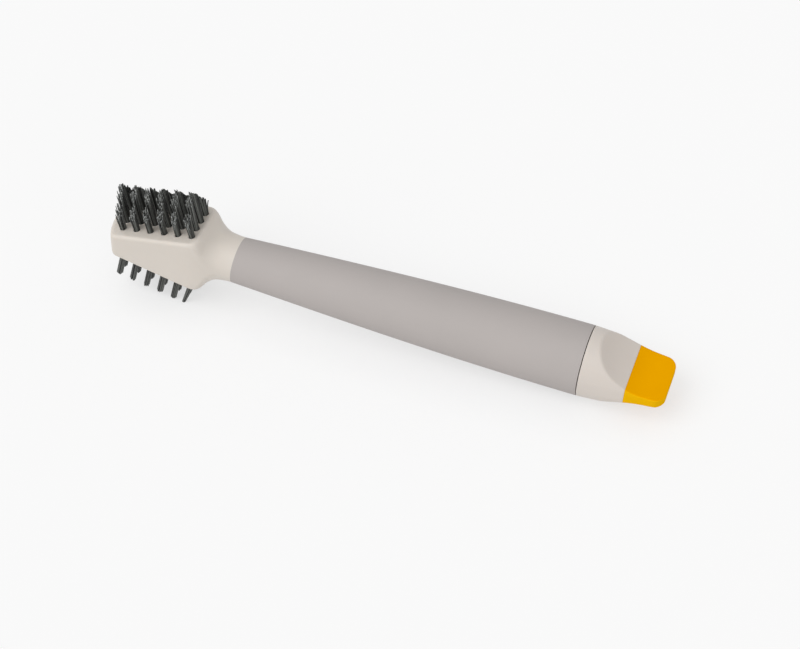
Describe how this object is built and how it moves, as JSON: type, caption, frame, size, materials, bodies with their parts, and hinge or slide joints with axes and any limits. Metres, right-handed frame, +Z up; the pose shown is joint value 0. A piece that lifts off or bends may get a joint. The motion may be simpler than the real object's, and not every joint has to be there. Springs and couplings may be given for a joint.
{
  "type": "detailing brush",
  "caption": "Two-sided hand brush for small corners: wedge head with roof-trimmed and level bristle tufts, soft round grip, and an end cap with a scraper blade.",
  "frame": {"origin": "middle of the footprint, on the surface that the brush lies on", "axes": "+X along the handle from the bristle head to the scraper blade, +Y across the head, +Z up; the handle slopes down to the scraper by about 4 degrees"},
  "size_m": [0.1826, 0.0222, 0.0434],
  "materials": {
    "body_white": "smooth satin moulding in warm white",
    "grip_grey": "soft matte overmould in warm grey",
    "cap_white": "smooth satin moulding in warm white",
    "blade_yellow": "smooth satin moulding in deep yellow",
    "upper_bristle": "drawn nylon filament, charcoal",
    "lower_bristle": "drawn nylon filament, charcoal"
  },
  "bodies": {
    "root": {"brush_body": "body_white", "grip_sleeve": "grip_grey", "end_cap": "cap_white", "scraper_blade": "blade_yellow", "upper_tuft_1_1": "upper_bristle", "upper_tuft_1_2": "upper_bristle", "upper_tuft_1_3": "upper_bristle", "upper_tuft_1_4": "upper_bristle", "upper_tuft_2_1": "upper_bristle", "upper_tuft_2_2": "upper_bristle", "upper_tuft_2_3": "upper_bristle", "upper_tuft_2_4": "upper_bristle", "upper_tuft_3_1": "upper_bristle", "upper_tuft_3_2": "upper_bristle", "upper_tuft_3_3": "upper_bristle", "upper_tuft_3_4": "upper_bristle", "upper_tuft_4_1": "upper_bristle", "upper_tuft_4_2": "upper_bristle", "upper_tuft_4_3": "upper_bristle", "upper_tuft_4_4": "upper_bristle", "upper_tuft_5_1": "upper_bristle", "upper_tuft_5_2": "upper_bristle", "upper_tuft_5_3": "upper_bristle", "upper_tuft_5_4": "upper_bristle", "upper_tuft_6_1": "upper_bristle", "upper_tuft_6_2": "upper_bristle", "upper_tuft_6_3": "upper_bristle", "upper_tuft_6_4": "upper_bristle", "lower_tuft_1_1": "lower_bristle", "lower_tuft_1_2": "lower_bristle", "lower_tuft_1_3": "lower_bristle", "lower_tuft_1_4": "lower_bristle", "lower_tuft_2_1": "lower_bristle", "lower_tuft_2_2": "lower_bristle", "lower_tuft_2_3": "lower_bristle", "lower_tuft_2_4": "lower_bristle", "lower_tuft_3_1": "lower_bristle", "lower_tuft_3_2": "lower_bristle", "lower_tuft_3_3": "lower_bristle", "lower_tuft_3_4": "lower_bristle", "lower_tuft_4_1": "lower_bristle", "lower_tuft_4_2": "lower_bristle", "lower_tuft_4_3": "lower_bristle", "lower_tuft_4_4": "lower_bristle", "lower_tuft_5_1": "lower_bristle", "lower_tuft_5_2": "lower_bristle", "lower_tuft_5_3": "lower_bristle", "lower_tuft_5_4": "lower_bristle", "lower_tuft_6_1": "lower_bristle", "lower_tuft_6_2": "lower_bristle", "lower_tuft_6_3": "lower_bristle", "lower_tuft_6_4": "lower_bristle"}
  },
  "joints": []
}
